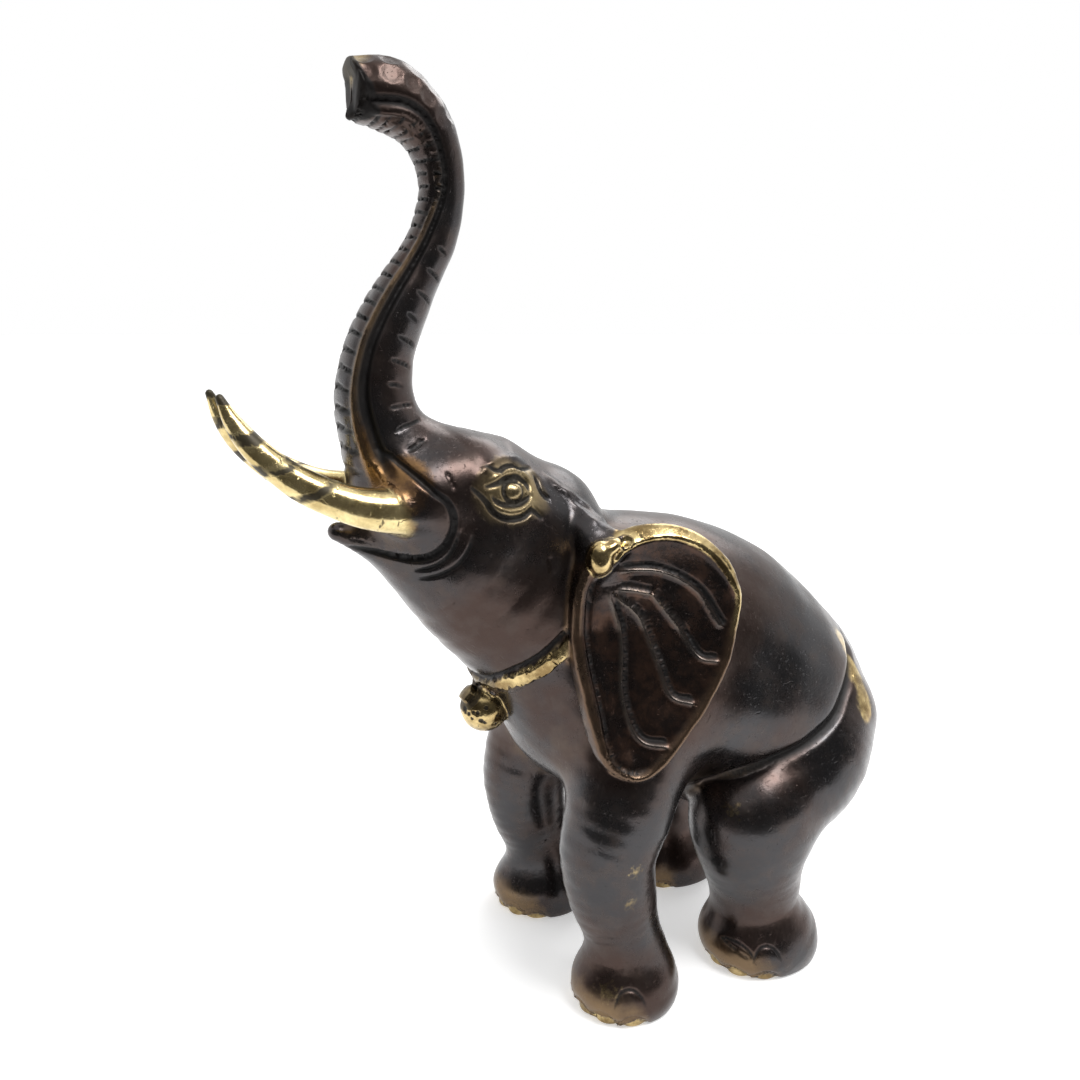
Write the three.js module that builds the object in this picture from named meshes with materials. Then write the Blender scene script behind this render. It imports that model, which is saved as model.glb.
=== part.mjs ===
// A cast bronze elephant, half seated, with its head thrown up and its trunk raised in an S above two tusks.
// Units are millimetres. +Z is up and the feet stand on z = 0. The animal faces -Y, its left side is +X, and
// x = 0 is its mirror plane. The casting is one solid: a distance field made of swellings, limbs, plates and
// chased lines is meshed on one side of the mirror plane, thinned and mirrored.
import * as THREE from "three";

// ---------------------------------------------------------------- driving dimensions
const FRONT_STANCE = 42; // between the centres of the front feet
const HIND_STANCE = 40; // between the centres of the hind feet
const FRONT_FEET = -18.9; // y of the front feet's centres
const HIND_FEET = 18.5; // y of the hind feet's centres
const FRONT_FOOT = 10.8; // radius at the sole
const HIND_FOOT = 12.3; // radius at the sole
const MIDDLE = 16.3; // moves the form so that the middle of its length is at y = 0
const GRID = 0.75; // spacing of the meshing grid
const TRIANGLES = 9800; // of the finished solid

const FX = FRONT_STANCE / 2;
const HX = HIND_STANCE / 2;

// ---------------------------------------------------------------- small helpers
const { clamp, lerp, degToRad } = THREE.MathUtils;
const { abs, hypot, max, min, sqrt, exp, cos, sin, atan2 } = Math;

// Joins two bodies with a fillet about k wide.
const blend = (a, b, k) => {
  const h = max(k - abs(a - b), 0) / k;
  return min(a, b) - (h * h * k) / 4;
};
// Cuts b's outside away from a with a rounded edge about k wide.
const trim = (a, b, k) => -blend(-a, -b, k);
const smooth = (from, to, v) => {
  const t = clamp((v - from) / (to - from), 0, 1);
  return t * t * (3 - 2 * t);
};
const bump = (v, width) => exp((-v * v) / (width * width));

// ---------------------------------------------------------------- bodies
// An ellipsoid turned about X: a positive turn lowers its -Y end.
function ellipsoid([cx, cy, cz], [rx, ry, rz], turn = 0) {
  const c = cos(degToRad(turn));
  const s = sin(degToRad(turn));
  return (x, y, z) => {
    const ex = x - cx;
    const ey = (y - cy) * c + (z - cz) * s;
    const ez = (z - cz) * c - (y - cy) * s;
    const k0 = hypot(ex / rx, ey / ry, ez / rz);
    const k1 = hypot(ex / (rx * rx), ey / (ry * ry), ez / (rz * rz));
    return k1 < 1e-9 ? -min(rx, ry, rz) : (k0 * (k0 - 1)) / k1;
  };
}

// A curve through points [x, y, z, size], and a search for the place on it nearest to a point.
function path(points, steps) {
  const line = new THREE.CatmullRomCurve3(points.map(([x, y, z]) => new THREE.Vector3(x, y, z)));
  const sizes = new THREE.CatmullRomCurve3(points.map(([, , , r], i) => new THREE.Vector3(i, r, 0)));
  const at = [];
  for (let i = 0; i <= steps; i++) {
    const p = line.getPoint(i / steps);
    at.push([p.x, p.y, p.z, sizes.getPoint(i / steps).y]);
  }
  const run = [0];
  for (let i = 0; i < steps; i++) {
    const [a, b] = [at[i], at[i + 1]];
    run.push(run[i] + hypot(b[0] - a[0], b[1] - a[1], b[2] - a[2]));
  }
  const box = new THREE.Box3().setFromPoints(at.map((p) => new THREE.Vector3(...p.slice(0, 3))));
  const ball = box.getBoundingSphere(new THREE.Sphere());
  const reach = ball.radius + max(...at.map((p) => p[3]));
  const far = (x, y, z) => hypot(x - ball.center.x, y - ball.center.y, z - ball.center.z) - reach;
  return { at, run, steps, far };
}

// How far a point lies from the segment a-b, and how far along it the nearest place is, from 0 to 1.
function toSegment(x, y, z, a, b) {
  const bx = b[0] - a[0];
  const by = b[1] - a[1];
  const bz = b[2] - a[2];
  const px = x - a[0];
  const py = y - a[1];
  const pz = z - a[2];
  const t = clamp((px * bx + py * by + pz * bz) / (bx * bx + by * by + bz * bz), 0, 1);
  return [hypot(px - t * bx, py - t * by, pz - t * bz), t];
}

// A round limb along a path whose size is its radius. A width other than 1 stretches it along X.
function limb(points, steps = 24, width = 1) {
  const { at, far } = path(points.map(([x, y, z, r]) => [x / width, y, z, r]), steps);
  const shrink = min(width, 1);
  return (x, y, z) => {
    const away = far(x / width, y, z);
    if (away > 12) return away * shrink;
    let best = Infinity;
    for (let i = 0; i < steps; i++) {
      const [d, t] = toSegment(x / width, y, z, at[i], at[i + 1]);
      best = min(best, d - lerp(at[i][3], at[i + 1][3], t));
    }
    return best * shrink;
  };
}

// The distance from a line on the surface through points [x, y, z, size], as [distance, size there].
function line(points, steps = 24) {
  const { at, far } = path(points, steps);
  return (x, y, z) => {
    if (far(x, y, z) > 6) return [99, 0];
    let best = [99, 0];
    for (let i = 0; i < steps; i++) {
      const [d, t] = toSegment(x, y, z, at[i], at[i + 1]);
      if (d < best[0]) best = [d, lerp(at[i][3], at[i + 1][3], t)];
    }
    return best;
  };
}

// A groove chased along a line whose size is its depth. Its width is that of a rounded chisel.
function groove(points, width, steps = 24) {
  const near = line(points, steps);
  return (x, y, z) => {
    const [d, depth] = near(x, y, z);
    return d > 4 * width ? 0 : depth * bump(d, width);
  };
}

// ---------------------------------------------------------------- torso, neck and head
const barrel = ellipsoid([0, 11.5, 65.8], [26.5, 43, 29.6], -38);
const flank = ellipsoid([13.5, 5, 61], [14.6, 27, 11], -16);
const rump = ellipsoid([0, 27.5, 51.2], [26, 31.5, 24], -30);
const chest = ellipsoid([0, -14, 68], [23.5, 25, 27], -20);
const neck = limb([[0, -4, 72, 24], [0, -18, 79, 23], [0, -30, 86.8, 22], [0, -42, 97.4, 20.3],
  [0, -50, 105, 16.4], [0, -56, 110, 13.2]], 16, 0.86);
const crown = ellipsoid([0, -34, 103], [14, 15, 10.6], 27);
const jaw = limb([[0, -48, 97, 10], [0, -58, 99.5, 6.6], [0, -66, 102, 3.6], [0, -73.6, 104.6, 1.8]],
  16, 1.35);

function torso(x, y, z) {
  let d = blend(barrel(x, y, z), chest(x, y, z), 14);
  d = blend(d, rump(x, y, z), 12);
  d = blend(d, flank(x, y, z), 7);
  d = blend(d, neck(x, y, z), 8);
  return blend(d, crown(x, y, z), 5);
}

// ---------------------------------------------------------------- legs
const frontLeg = limb([[13.5, -12, 74, 12], [17.6, -16, 58, 12], [FX - 0.5, -21.3, 46.5, 11.3],
  [FX, -24.4, 36, 10.3], [FX, -23.5, 26, 9.4], [FX, -21, 17, 8.3], [FX, -19.5, 9, 9.4],
  [FX, FRONT_FEET, 4, FRONT_FOOT]], 28);
const thigh = limb([[15, 37, 53, 12], [17, 28, 45, 15.3], [20, 16, 38.5, 13.6], [21.5, 10, 36.8, 10.6]], 18);
const shank = limb([[21.5, 10, 36, 10.6], [21, 12, 29, 11.8], [20.3, 14.3, 21, 10.8],
  [HX, 14.8, 14, 9.9], [HX, 16.5, 7.5, 11.2], [HX, HIND_FEET, 3.5, HIND_FOOT]], 20);

const frontToes = ellipsoid([FX + 0.6, FRONT_FEET - 2.6, 4.5], [10.6, 10.3, 6.8]);
const hindToes = ellipsoid([HX + 0.6, HIND_FEET - 4.4, 4.8], [12, 11.6, 7.6]);

// Toenails round the front of a foot: a positive bearing turns away from the other foot.
const nails = (cx, cy, radius, bearings) => bearings.map((bearing) => {
  const a = degToRad(bearing);
  return ellipsoid([cx + radius * sin(a), cy - radius * cos(a), 1.6], [2.8, 2.6, 4.2]);
});
const toenails = [
  ...nails(FX + 0.4, FRONT_FEET - 1.8, 8.3, [66, 36, 6, -24, -54]),
  ...nails(HX + 0.4, HIND_FEET - 3.2, 9.4, [56, 26, -4, -34, -64]),
];

// ---------------------------------------------------------------- trunk
// Points [0, y, z, radius] of its middle line, from the brow to the tip.
const TRUNK = [[0, -48, 107, 16], [0, -56, 112, 13], [0, -61.5, 117.5, 10.5], [0, -64.8, 124, 8.7],
  [0, -65.8, 131, 7.7], [0, -64.8, 137.2, 7.1], [0, -62.7, 142.6, 6.6], [0, -59.8, 148.1, 6.1],
  [0, -56.5, 153.7, 5.3], [0, -53.5, 159, 4.8], [0, -51.6, 164.5, 4.5], [0, -51, 169, 4.4],
  [0, -51.7, 174.2, 4.8], [0, -54.6, 179.8, 5.7], [0, -60.5, 183.6, 6.6], [0, -68.7, 184.4, 5.6]];
const trunkPath = path(TRUNK, 90);

// The trunk's own measures at a point: [s, r, v], how far along it is, its radius there, and how far behind
// the middle line the point lies: positive on the back of the trunk, negative on its ribbed face.
function onTrunk(y, z) {
  const { at, run, steps } = trunkPath;
  let nearest = Infinity;
  let found = [0, 1, 0];
  for (let i = 0; i < steps; i++) {
    const [a, b] = [at[i], at[i + 1]];
    const [d, t] = toSegment(0, y, z, a, b);
    if (d >= nearest) continue;
    nearest = d;
    const [along, up] = [b[1] - a[1], b[2] - a[2]];
    const side = (y - a[1]) * up - (z - a[2]) * along > 0 ? 1 : -1;
    const past = ((y - b[1]) * along + (z - b[2]) * up) / hypot(along, up);
    const over = i === steps - 1 ? max(past, 0) : 0;
    const behind = side * sqrt(max(d * d - over * over, 0));
    found = [lerp(run[i], run[i + 1], t) + over, lerp(a[3], b[3], t), behind];
  }
  return found;
}
const TRUNK_LENGTH = trunkPath.run[trunkPath.steps];

function trunk(x, y, z) {
  if (trunkPath.far(x, y, z) > 14) return trunkPath.far(x, y, z);
  const [s, r, v] = onTrunk(y, z);
  const across = hypot(x, v);
  const around = atan2(abs(x), -v); // 0 on the ribbed face, pi on the back
  const freed = smooth(12, 26, s) * (1 - smooth(TRUNK_LENGTH - 14, TRUNK_LENGTH - 5, s));
  let d = across - r;
  d = trim(d, -v - 0.9 * r, 0.3 * r);
  d -= freed * 0.6 * bump(around - 0.86, 0.14);
  d += freed * 0.8 * bump(around - 1.18, 0.15);
  return trim(d, s - TRUNK_LENGTH, 1);
}

// ---------------------------------------------------------------- tusks and mouth
const tusk = limb([[11, -58, 109, 4.2], [12.2, -65.4, 109.8, 4.1], [11.5, -73.9, 111.9, 3.6],
  [10.3, -82.4, 116.1, 3], [8.8, -88.8, 121.5, 2.4], [6.9, -93, 127.5, 1.6], [6.2, -94.6, 131.3, 0.8]], 36);
const sheath = limb([[6.5, -50, 113, 9.2], [8.6, -57.5, 112, 7.6], [10.2, -63.2, 110.4, 5.2]], 10);

// ---------------------------------------------------------------- ears
// The outline of the ear as [y, z], and the ear's hollow face, which turns out towards its back edge.
const EAR = [[-27.1, 99.7], [-23.6, 102.8], [-17.9, 105.5], [-8.8, 104.3], [-1.6, 98.3], [0.2, 88],
  [-3.8, 77.7], [-10.6, 66.8], [-16.8, 59], [-23.3, 55.7], [-28.6, 58.5], [-31.7, 66.9], [-32.9, 77],
  [-33.3, 89], [-32, 96]];
const earEdge = new THREE.CatmullRomCurve3(EAR.map(([y, z]) => new THREE.Vector3(0, y, z)), true)
  .getPoints(72).map((p) => [0, p.y, p.z]);

// Distance to the ear's outline in the YZ plane, negative inside.
function earOutline(y, z) {
  let nearest = Infinity;
  let side = 1;
  for (let i = 1; i < earEdge.length; i++) {
    const [a, b] = [earEdge[i - 1], earEdge[i]];
    nearest = min(nearest, toSegment(0, y, z, a, b)[0]);
    const crosses = a[2] > z !== b[2] > z && y < ((b[1] - a[1]) * (z - a[2])) / (b[2] - a[2]) + a[1];
    if (crosses) side = -side;
  }
  return side * nearest;
}
const earFace = (y, z) => 21.5 + 0.33 * (y + 31) + 0.25 * max(84 - z, 0) - 0.1 * max(z - 92, 0);
const EAR_THICK = 3;
const VEIN_WIDTH = 0.8;

// Veins of the ear as [y, z, depth], radiating from its root and hooking at their ends.
const VEINS = [
  [[-26.6, 93.1], [-25.1, 88.2], [-23.7, 81.5], [-24.3, 71.5], [-23.2, 65.5], [-20.8, 61.6], [-17.6, 61.4]],
  [[-25, 93], [-21.7, 89.7], [-18.5, 84.6], [-16.9, 78], [-15.4, 71.8], [-13.2, 69.5], [-10.5, 70]],
  [[-17.8, 91.2], [-14.4, 88.2], [-11.9, 84.7], [-10.4, 79.9], [-8.6, 77.9], [-5.3, 77.6]],
  [[-22.4, 95.3], [-17.8, 96.4], [-13.6, 95.2], [-9.8, 92.5], [-7.4, 88.9], [-5.5, 85.7], [-3.3, 84.8]],
  [[-24.2, 93.9], [-20.8, 92.9], [-17.9, 91.4]],
].map((points) => line(points.map(([y, z]) => [0, y, z, 1])));

// The ear's plate and the room in front of it, where the shoulder is cut back, as [plate, room].
function ear(x, y, z) {
  const away = hypot(x - 26, y + 16, z - 80) - 34;
  if (away > 8) return [away, away];
  const edge = earOutline(y, z);
  const face = (x - earFace(y, z)) * 0.93;
  const hollow = 1.5 * smooth(-1.5, -8, edge);
  const room = trim(edge, -face - hollow - 1.5, 1);
  const rim = bump(edge + 1.3, 1.2);
  let vein = 0;
  if (abs(face) < 4) {
    for (const near of VEINS) vein = max(vein, bump(near(0, y, z)[0], VEIN_WIDTH));
  }
  const front = face + hollow - 0.9 * rim - 0.9 * vein;
  return [trim(trim(front, -face - hollow - EAR_THICK, 1), edge, 1.4), room];
}
const knob = ellipsoid([22.2, -27.6, 100], [3.4, 3.3, 4]);
const earRoot = limb([[11, -28, 105, 4], [17, -26, 100, 4.6], [17.5, -26, 92, 4]], 10);

// ---------------------------------------------------------------- collar, bell, eye and tail
const COLLAR = 77.9;
const collarAt = (y, z) => -0.763 * y + 0.646 * z - COLLAR;
const bell = ellipsoid([0, -43.4, 63.6], [5.3, 5.3, 5.3]);
const eye = ellipsoid([14, -42.6, 112.1], [1.8, 1.8, 1.8]);
const tail = limb([[0, 46, 72.4, 2.4], [0, 52.6, 65.5, 2.8], [0, 57.2, 57, 3.2], [0, 59.6, 48, 2.8],
  [0, 58.3, 40, 2]], 16);
const tailRoot = limb([[0, 40, 69, 6], [0, 48, 62, 6.5], [0, 52, 54, 6], [0, 52.5, 45, 5.5],
  [0, 49, 36, 5]], 16);

// ---------------------------------------------------------------- chased lines
const lines = [
  groove([[7.4, -67, 127, 0.3], [9, -65.7, 122, 0.8], [12, -62.6, 118, 1], [15, -60, 115, 1],
    [16, -57.8, 111.3, 1], [15, -56.5, 106.4, 1.1], [12.6, -57.6, 103, 1.2], [10.2, -61.3, 101.5, 1.2],
    [7, -65.3, 102.2, 1.1], [4, -69.2, 103, 1], [1.5, -72.4, 103.9, 0.8]], 0.8, 40),
  groove([[10, -60.9, 97.8, 0.5], [14, -56.5, 99.8, 0.6], [15.4, -54.8, 102.5, 0.4]], 0.6, 10),
  groove([[10, -60.1, 95.8, 0.4], [15.4, -54, 99.4, 0.6], [16.5, -52, 103.6, 0.4]], 0.6, 10),
  groove([[16.4, -51.6, 113.9, 0.5], [16.6, -48.1, 109.9, 0.7], [16.8, -43.9, 107.2, 0.7],
    [15.6, -38, 107.4, 0.5]], 0.6, 16),
  groove([[15.2, -48.4, 117.2, 0.4], [13.8, -45.3, 118, 0.6], [11.2, -41, 117.8, 0.6],
    [10.6, -37.4, 115.8, 0.5], [13.4, -35.2, 110.4, 0.4]], 0.6, 16),
  groove([[27.5, -4, 48, 1.2], [28, 5, 50.5, 1.4], [28.4, 16, 53.8, 1.4], [26.8, 26, 58, 1.2],
    [24.3, 33.9, 62.8, 1.1], [21.9, 37.5, 65.5, 0.9], [16, 42, 69, 0.7], [9, 46, 71, 0.4]], 1.5, 24),
];
const eyeRing = (x, y, z) => 0.7 * bump(hypot(x - 14.6, y + 43, z - 112.5) - 2.9, 0.55);

// ---------------------------------------------------------------- the whole form, for x >= 0
function form(x, y, z) {
  let d = torso(x, y, z);
  d = blend(d, frontLeg(x, y, z), 8);
  d = blend(d, blend(thigh(x, y, z), shank(x, y, z), 7), 3);
  d = blend(d, frontToes(x, y, z), 4);
  d = blend(d, hindToes(x, y, z), 4);
  if (z < 8) for (const nail of toenails) d = blend(d, nail(x, y, z), 0.5);
  d = blend(d, jaw(x, y, z), 5);
  d = blend(d, trunk(x, y, z), 6);
  const collar = abs(collarAt(y, z));
  if (y < -28 && z < 95) d -= 1.1 * smooth(1.7, 1.0, collar);
  d = blend(d, sheath(x, y, z), 4);
  d = blend(d, tusk(x, y, z), 1.2);
  const [plate, room] = ear(x, y, z);
  d = trim(d, -room, 1);
  d = blend(d, blend(plate, earRoot(x, y, z), 3), 1.2);
  d = blend(d, knob(x, y, z), 1);
  d = blend(d, bell(x, y, z), 0.8);
  d += eyeRing(x, y, z);
  d = blend(d, eye(x, y, z), 0.5);
  d = blend(blend(d, tailRoot(x, y, z), 7), tail(x, y, z), 0.8);
  for (const cut of lines) d += cut(x, y, z);
  return trim(d, -z, 0.8);
}

// ---------------------------------------------------------------- meshing
const LOW = [-GRID / 2, -99, -3]; // the first grid point: cells are centred on x = 0
const HIGH = [45, 70, 194];
const COUNT = LOW.map((low, axis) => Math.ceil((HIGH[axis] - low) / GRID) + 2);
const BLOCK = 6; // grid points a side in the blocks that are skipped where the surface is far away
const STEEPEST = 1.6; // how much faster than distance the field can change
const CORNERS = [0, 1, 2, 3, 4, 5, 6, 7].map((c) => [c & 1, (c >> 1) & 1, c >> 2]);
// The cells round a grid edge along X, Y or Z, as steps back from the edge's first point.
const AROUND = [
  [[0, 0, 0], [0, 1, 0], [0, 1, 1], [0, 0, 1]],
  [[0, 0, 0], [0, 0, 1], [1, 0, 1], [1, 0, 0]],
  [[0, 0, 0], [1, 0, 0], [1, 1, 0], [0, 1, 0]],
];
const field = (x, y, z) => form(abs(x), y, z);
const at = (axis, i) => LOW[axis] + i * GRID;
const node = (i, j, k) => (k * COUNT[1] + j) * COUNT[0] + i;

function eachNode(first, visit) {
  for (let k = first; k < COUNT[2] - 1; k++) {
    for (let j = first; j < COUNT[1] - 1; j++) {
      for (let i = first; i < COUNT[0] - 1; i++) visit(i, j, k);
    }
  }
}

// The field at each grid point of one block, or the field at its middle where the surface is far from it.
function fillBlock(value, i0, j0, k0) {
  const half = BLOCK / 2;
  const middle = field(at(0, i0 + half), at(1, j0 + half), at(2, k0 + half));
  const far = abs(middle) > STEEPEST * sqrt(3) * GRID * (half + 1);
  for (let k = k0; k < min(k0 + BLOCK, COUNT[2]); k++) {
    for (let j = j0; j < min(j0 + BLOCK, COUNT[1]); j++) {
      for (let i = i0; i < min(i0 + BLOCK, COUNT[0]); i++) {
        value[node(i, j, k)] = far ? middle : field(at(0, i), at(1, j), at(2, k));
      }
    }
  }
}

// The middle of the points where the surface crosses a cell's edges, in cells from its first corner.
function crossing(values) {
  const middle = [0, 0, 0];
  let count = 0;
  for (let c = 0; c < 8; c++) {
    for (const bit of [1, 2, 4]) {
      const e = c | bit;
      if (e === c || values[c] < 0 === values[e] < 0) continue;
      const t = values[c] / (values[c] - values[e]);
      for (let axis = 0; axis < 3; axis++) middle[axis] += lerp(CORNERS[c][axis], CORNERS[e][axis], t);
      count++;
    }
  }
  return middle.map((m) => m / count);
}

// One half of the surface as naive surface nets: a vertex in each cell that the surface crosses, and a quad
// across each grid edge that it crosses.
function surfaceHalf() {
  const value = new Float32Array(COUNT[0] * COUNT[1] * COUNT[2]);
  for (let k = 0; k < COUNT[2]; k += BLOCK) {
    for (let j = 0; j < COUNT[1]; j += BLOCK) {
      for (let i = 0; i < COUNT[0]; i += BLOCK) fillBlock(value, i, j, k);
    }
  }
  const vertexOf = new Int32Array(value.length).fill(-1);
  const points = [];
  eachNode(0, (i, j, k) => {
    const values = CORNERS.map(([a, b, c]) => value[node(i + a, j + b, k + c)]);
    const inside = values.filter((v) => v < 0).length;
    if (inside === 0 || inside === 8) return;
    const [x, y, z] = crossing(values);
    vertexOf[node(i, j, k)] = points.length / 3;
    points.push(i === 0 ? 0 : at(0, i) + x * GRID, at(1, j) + y * GRID, at(2, k) + z * GRID);
  });
  const triangles = [];
  eachNode(1, (i, j, k) => {
    const here = value[node(i, j, k)] < 0;
    AROUND.forEach((cells, axis) => {
      const next = value[node(i + (axis === 0), j + (axis === 1), k + (axis === 2))] < 0;
      if (here === next) return;
      const corners = cells.map(([a, b, c]) => vertexOf[node(i - a, j - b, k - c)]);
      if (!here) corners.reverse();
      const [p, q, r, s] = corners;
      triangles.push(p, q, r, p, r, s);
    });
  });
  return { points: Float64Array.from(points), triangles };
}

// Moves each vertex onto the surface along the field's gradient. The mirror plane's vertices stay on it.
function settle(points) {
  const e = 0.05;
  for (let v = 0; v < points.length; v += 3) {
    for (let pass = 0; pass < 2; pass++) {
      const [x, y, z] = points.subarray(v, v + 3);
      const gx = (field(x + e, y, z) - field(x - e, y, z)) / (2 * e);
      const gy = (field(x, y + e, z) - field(x, y - e, z)) / (2 * e);
      const gz = (field(x, y, z + e) - field(x, y, z - e)) / (2 * e);
      const slope = gx * gx + gy * gy + gz * gz;
      if (slope < 0.05) continue;
      const move = clamp(field(x, y, z) / slope, -0.4, 0.4);
      points[v] = x === 0 ? 0 : max(x - gx * move, 1e-3);
      points[v + 1] -= gy * move;
      points[v + 2] -= gz * move;
    }
  }
}

// ---------------------------------------------------------------- thinning
// A heap of arrays whose first entry is the cost, cheapest on top.
class Heap {
  items = [];
  push(item) {
    let i = this.items.push(item) - 1;
    while (i > 0) {
      const up = (i - 1) >> 1;
      if (this.items[up][0] <= item[0]) break;
      this.items[i] = this.items[up];
      i = up;
    }
    this.items[i] = item;
  }
  pop() {
    const top = this.items[0];
    const last = this.items.pop();
    const n = this.items.length;
    if (n === 0) return top;
    let i = 0;
    let child = 1;
    while (child < n) {
      if (child + 1 < n && this.items[child + 1][0] < this.items[child][0]) child++;
      if (this.items[child][0] >= last[0]) break;
      this.items[i] = this.items[child];
      i = child;
      child = 2 * i + 1;
    }
    this.items[i] = last;
    return top;
  }
}

// Where one plane [a, b, c, d] puts its weight in a quadric's ten sums.
const planeSums = ([a, b, c, d]) => [a * a, a * b, a * c, a * d, b * b, b * c, b * d, c * c, c * d, d * d];

const planeCost = (q, x, y, z) => q[0] * x * x + q[4] * y * y + q[7] * z * z + q[9]
  + 2 * (q[1] * x * y + q[2] * x * z + q[5] * y * z + q[3] * x + q[6] * y + q[8] * z);

// The point of least cost for a quadric, or nothing where the planes leave it free.
function flattest([a, b, c, p, d, e, q, f, r]) {
  const m0 = d * f - e * e;
  const m1 = c * e - b * f;
  const m2 = b * e - c * d;
  const m3 = a * f - c * c;
  const m4 = b * c - a * e;
  const m5 = a * d - b * b;
  const det = a * m0 + b * m1 + c * m2;
  if (abs(det) < 1e-6 * (a + d + f) ** 3) return null;
  const x = p * m0 + q * m1 + r * m2;
  const y = p * m1 + q * m3 + r * m4;
  const z = p * m2 + q * m4 + r * m5;
  return [-x / det, -y / det, -z / det];
}

// Thins a mesh to a number of triangles: the edge that costs least is collapsed again and again, by the
// squared distances to the faces round it. The care at a place says how many times its faces count.
function thin({ points, triangles }, target, care) {
  const P = (v) => [points[3 * v], points[3 * v + 1], points[3 * v + 2]];
  const count = points.length / 3;
  const onPlane = (v) => points[3 * v] === 0;
  const quadrics = Array.from({ length: count }, () => new Float64Array(10));
  const around = Array.from({ length: count }, () => new Set());
  const faces = [];
  const normal = (a, b, c) => {
    const [ux, uy, uz] = [0, 1, 2].map((i) => b[i] - a[i]);
    const [vx, vy, vz] = [0, 1, 2].map((i) => c[i] - a[i]);
    return [uy * vz - uz * vy, uz * vx - ux * vz, ux * vy - uy * vx];
  };
  const weigh = (v, plane, weight) => planeSums(plane).forEach((s, i) => (quadrics[v][i] += weight * s));

  for (let t = 0; t < triangles.length; t += 3) {
    const face = triangles.slice(t, t + 3);
    const a = P(face[0]);
    const n = normal(a, P(face[1]), P(face[2]));
    const area = hypot(...n) || 1e-12;
    const unit = n.map((c) => c / area);
    const plane = [...unit, -(unit[0] * a[0] + unit[1] * a[1] + unit[2] * a[2])];
    for (const v of face) {
      around[v].add(faces.length);
      weigh(v, plane, area * care(...a));
    }
    faces.push(face);
  }
  for (let v = 0; v < count; v++) if (onPlane(v)) weigh(v, [1, 0, 0, 0], 1e3);

  const neighbours = (v) => {
    const found = new Set();
    for (const f of around[v]) for (const w of faces[f]) if (w !== v) found.add(w);
    return found;
  };
  // What collapsing the edge from a to b costs, and the place that its one vertex then takes.
  const collapse = (a, b) => {
    const sums = quadrics[a].map((s, i) => s + quadrics[b][i]);
    const [pa, pb] = [P(a), P(b)];
    const middle = pa.map((c, i) => (c + pb[i]) / 2);
    const long = hypot(pa[0] - pb[0], pa[1] - pb[1], pa[2] - pb[2]);
    const best = flattest(sums);
    const near = best && hypot(best[0] - middle[0], best[1] - middle[1], best[2] - middle[2]) < 2 * long;
    const places = near ? [best] : [pa, middle, pb];
    const costs = places.map(([x, y, z]) => {
      const px = onPlane(a) || onPlane(b) ? 0 : x;
      return [max(planeCost(sums, px, y, z), 0) + 1e-4 * long * long, px, y, z];
    });
    return costs.reduce((one, other) => (other[0] < one[0] ? other : one));
  };
  const heap = new Heap();
  const version = new Int32Array(count);
  const offer = (a, b) => {
    const [cost, ...place] = collapse(a, b);
    heap.push([cost, a, b, version[a], version[b], place]);
  };
  // Whether moving v to a place would fold one of its faces that the other vertex isn't in.
  const folds = (v, other, place) => [...around[v]].some((f) => {
    if (faces[f].includes(other)) return false;
    const before = normal(...faces[f].map(P));
    const after = normal(...faces[f].map((w) => (w === v ? place : P(w))));
    const size = hypot(...after);
    const turn = before[0] * after[0] + before[1] * after[1] + before[2] * after[2];
    return size < 1e-3 || turn < 0.35 * hypot(...before) * size;
  });
  const allowed = (a, b, place, shared) => {
    const mine = neighbours(a);
    const common = [...neighbours(b)].filter((w) => mine.has(w)).length;
    if (common !== shared.length) return false;
    if (onPlane(a) && onPlane(b) && shared.length !== 1) return false;
    return !folds(a, b, place) && !folds(b, a, place);
  };

  for (let v = 0; v < count; v++) for (const w of neighbours(v)) if (v < w) offer(v, w);
  let left = faces.length;
  while (left > target && heap.items.length) {
    const [, a, b, versionA, versionB, place] = heap.pop();
    if (version[a] !== versionA || version[b] !== versionB) continue;
    const shared = [...around[a]].filter((f) => around[b].has(f));
    if (!allowed(a, b, place, shared)) continue;
    points.set(place, 3 * a);
    quadrics[b].forEach((s, i) => (quadrics[a][i] += s));
    for (const f of shared) {
      for (const v of faces[f]) around[v].delete(f);
      faces[f] = null;
      left--;
    }
    for (const f of around[b]) {
      faces[f] = faces[f].map((v) => (v === b ? a : v));
      around[a].add(f);
    }
    around[b].clear();
    version[a]++;
    version[b]++;
    for (const w of neighbours(a)) offer(min(a, w), max(a, w));
  }
  return { points, triangles: faces.filter(Boolean).flat() };
}

// ---------------------------------------------------------------- the casting
// Both halves as one closed geometry.
function mirrored({ points, triangles }) {
  const index = new Map();
  const position = [];
  const faces = [];
  const vertex = (v, side) => {
    const key = points[3 * v] === 0 ? v + 1 : (v + 1) * side;
    if (!index.has(key)) {
      index.set(key, position.length / 3);
      position.push(points[3 * v] * side, points[3 * v + 1], points[3 * v + 2]);
    }
    return index.get(key);
  };
  for (let t = 0; t < triangles.length; t += 3) {
    const [a, b, c] = triangles.slice(t, t + 3);
    faces.push(vertex(a, 1), vertex(b, 1), vertex(c, 1));
    faces.push(vertex(a, -1), vertex(c, -1), vertex(b, -1));
  }
  const geometry = new THREE.BufferGeometry();
  geometry.setAttribute("position", new THREE.Float32BufferAttribute(position, 3));
  geometry.setIndex(faces);
  geometry.computeVertexNormals();
  return geometry;
}

// The ears' veins and rims and the head's carving keep more triangles than the smooth body.
const care = (x, y, z) => {
  if (x > 15 && ear(x, y, z)[0] < 0.5) return 8;
  return z > 95 && y < -30 ? 3 : 1;
};

const half = surfaceHalf();
settle(half.points);
const casting = mirrored(thin(half, TRIANGLES / 2, care));

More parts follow.
